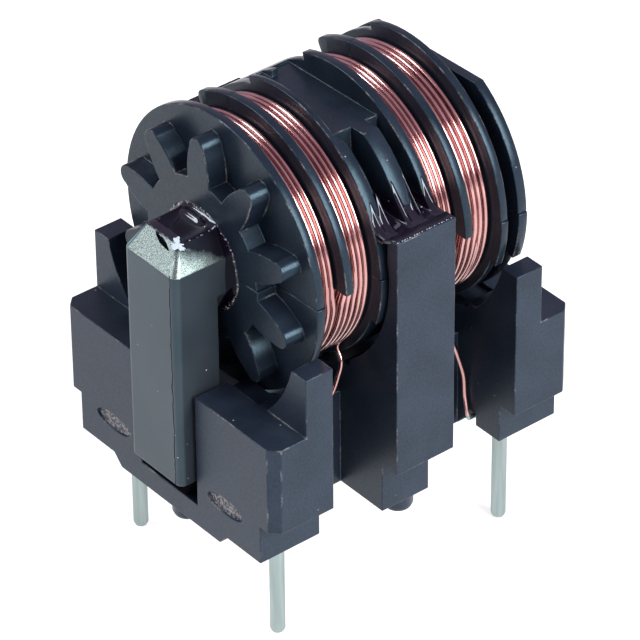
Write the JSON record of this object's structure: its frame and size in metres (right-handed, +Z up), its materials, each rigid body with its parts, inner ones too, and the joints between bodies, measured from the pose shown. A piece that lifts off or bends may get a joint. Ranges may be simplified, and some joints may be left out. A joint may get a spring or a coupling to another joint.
{
  "type": "common mode choke",
  "caption": "Through-hole common mode choke: split spool with copper windings on a closed ferrite core, standing in a black moulded base with wire pins.",
  "frame": {"origin": "middle of the four pins, on the seating plane that the stand-off nubs rest on", "axes": "+X along the spool's axis away from its toothed wheel, +Z up from the circuit board"},
  "size_m": [0.0186, 0.0148, 0.0242],
  "materials": {
    "black_plastic": "satin moulded",
    "ferrite": "satin sintered",
    "copper_wire": "clear enamelled",
    "adhesive": "glossy cured",
    "tinned_pin": "tinned",
    "solder": "bright solder"
  },
  "bodies": {
    "root": {"base": "black_plastic", "core": "ferrite", "bobbin_upper": "black_plastic", "bobbin_lower": "black_plastic", "winding_front": "copper_wire", "winding_rear": "copper_wire", "adhesive_front": "adhesive", "adhesive_rear": "adhesive", "adhesive_right": "adhesive", "adhesive_left": "adhesive", "pin_front_right": "tinned_pin", "pin_front_left": "tinned_pin", "pin_rear_right": "tinned_pin", "pin_rear_left": "tinned_pin", "solder_front_right": "solder", "solder_front_left": "solder", "solder_rear_right": "solder", "solder_rear_left": "solder"}
  },
  "joints": []
}
